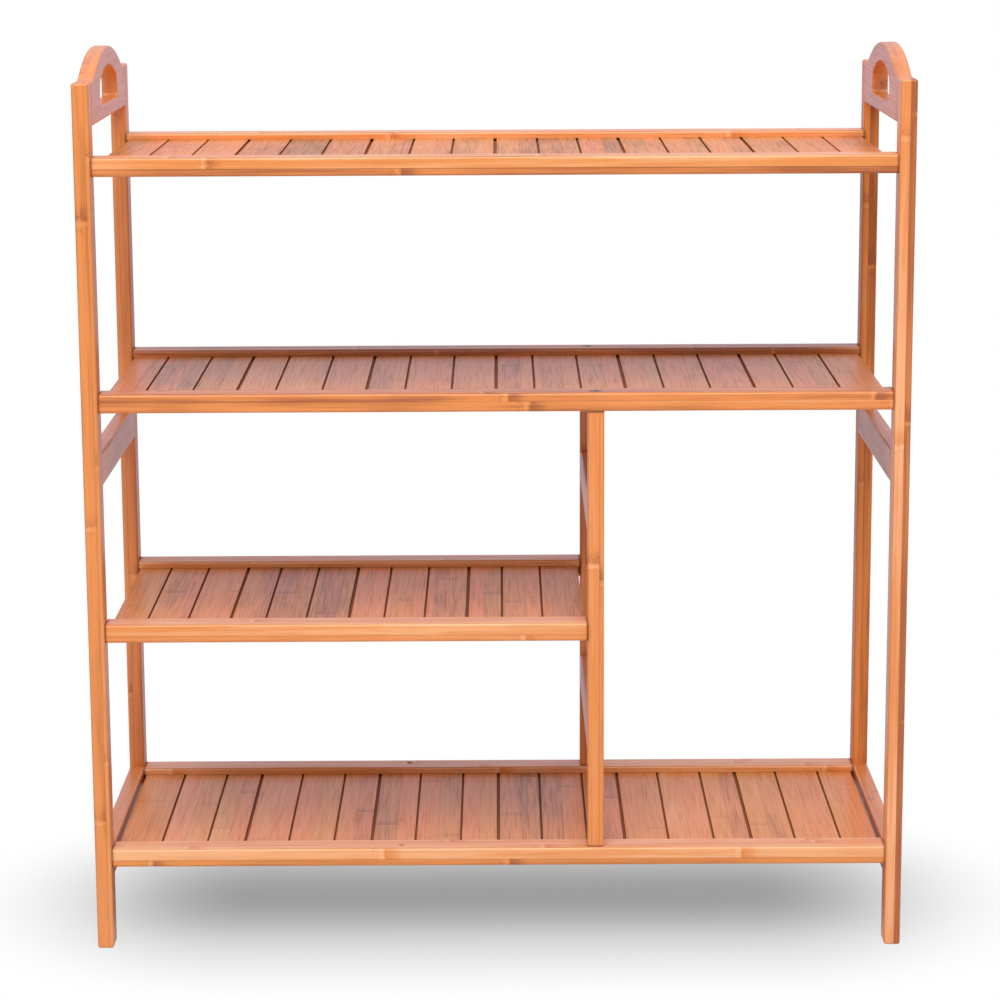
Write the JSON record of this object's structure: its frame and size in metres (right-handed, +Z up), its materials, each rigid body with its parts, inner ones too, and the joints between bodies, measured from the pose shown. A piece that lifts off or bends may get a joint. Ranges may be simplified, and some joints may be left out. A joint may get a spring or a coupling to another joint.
{
  "type": "tiered shoe rack",
  "caption": "Bamboo shoe rack with grooved board shelves between two side frames, handle slots in the top panels, and a divider that leaves a tall space for boots.",
  "frame": {"origin": "on the floor, under the middle of the rack's width and depth", "axes": "+X to the right along the shelves, with the boot space on the right; -Y towards the front; +Z up"},
  "size_m": [0.7, 0.284, 0.773],
  "materials": {
    "bamboo_frame": "laminated bamboo, carbonised tone, clear satin lacquer",
    "bamboo_shelf_rails": "laminated bamboo, carbonised tone, clear satin lacquer",
    "bamboo_boards": "laminated bamboo boards with milled grooves, carbonised tone, clear satin lacquer",
    "bamboo_divider": "laminated bamboo, carbonised tone, clear satin lacquer",
    "dowel_wood": "plain turned hardwood, glued",
    "screw_steel": "dull plated steel with a hex socket"
  },
  "bodies": {
    "root": {"bottom_shelf_board_1": "bamboo_boards", "bottom_shelf_board_2": "bamboo_boards", "bottom_shelf_board_3": "bamboo_boards", "bottom_shelf_board_4": "bamboo_boards", "bottom_shelf_board_5": "bamboo_boards", "bottom_shelf_board_6": "bamboo_boards", "bottom_shelf_front_rail": "bamboo_shelf_rails", "bottom_shelf_rear_rail": "bamboo_shelf_rails", "bottom_shelf_screws": "screw_steel", "divider_bottom_screws": "screw_steel", "divider_dowels": "dowel_wood", "divider_front_post": "bamboo_divider", "divider_lower_rail": "bamboo_divider", "divider_rear_post": "bamboo_divider", "divider_top_screws": "screw_steel", "divider_upper_rail": "bamboo_divider", "front_left_leg": "bamboo_frame", "front_right_leg": "bamboo_frame", "left_bottom_side_rail": "bamboo_frame", "left_frame_dowels": "dowel_wood", "left_handle_panel": "bamboo_frame", "left_middle_side_rail": "bamboo_frame", "rear_left_leg": "bamboo_frame", "rear_right_leg": "bamboo_frame", "right_bottom_side_rail": "bamboo_frame", "right_frame_dowels": "dowel_wood", "right_handle_panel": "bamboo_frame", "right_middle_side_rail": "bamboo_frame", "second_shelf_board_1": "bamboo_boards", "second_shelf_board_2": "bamboo_boards", "second_shelf_board_3": "bamboo_boards", "second_shelf_board_4": "bamboo_boards", "second_shelf_board_5": "bamboo_boards", "second_shelf_board_6": "bamboo_boards", "second_shelf_front_rail": "bamboo_shelf_rails", "second_shelf_rear_rail": "bamboo_shelf_rails", "second_shelf_screws": "screw_steel", "third_shelf_board_1": "bamboo_boards", "third_shelf_board_2": "bamboo_boards", "third_shelf_board_3": "bamboo_boards", "third_shelf_board_4": "bamboo_boards", "third_shelf_front_rail": "bamboo_shelf_rails", "third_shelf_rear_rail": "bamboo_shelf_rails", "third_shelf_screws": "screw_steel", "top_shelf_board_1": "bamboo_boards", "top_shelf_board_2": "bamboo_boards", "top_shelf_board_3": "bamboo_boards", "top_shelf_board_4": "bamboo_boards", "top_shelf_board_5": "bamboo_boards", "top_shelf_board_6": "bamboo_boards", "top_shelf_front_rail": "bamboo_shelf_rails", "top_shelf_rear_rail": "bamboo_shelf_rails", "top_shelf_screws": "screw_steel"}
  },
  "joints": []
}
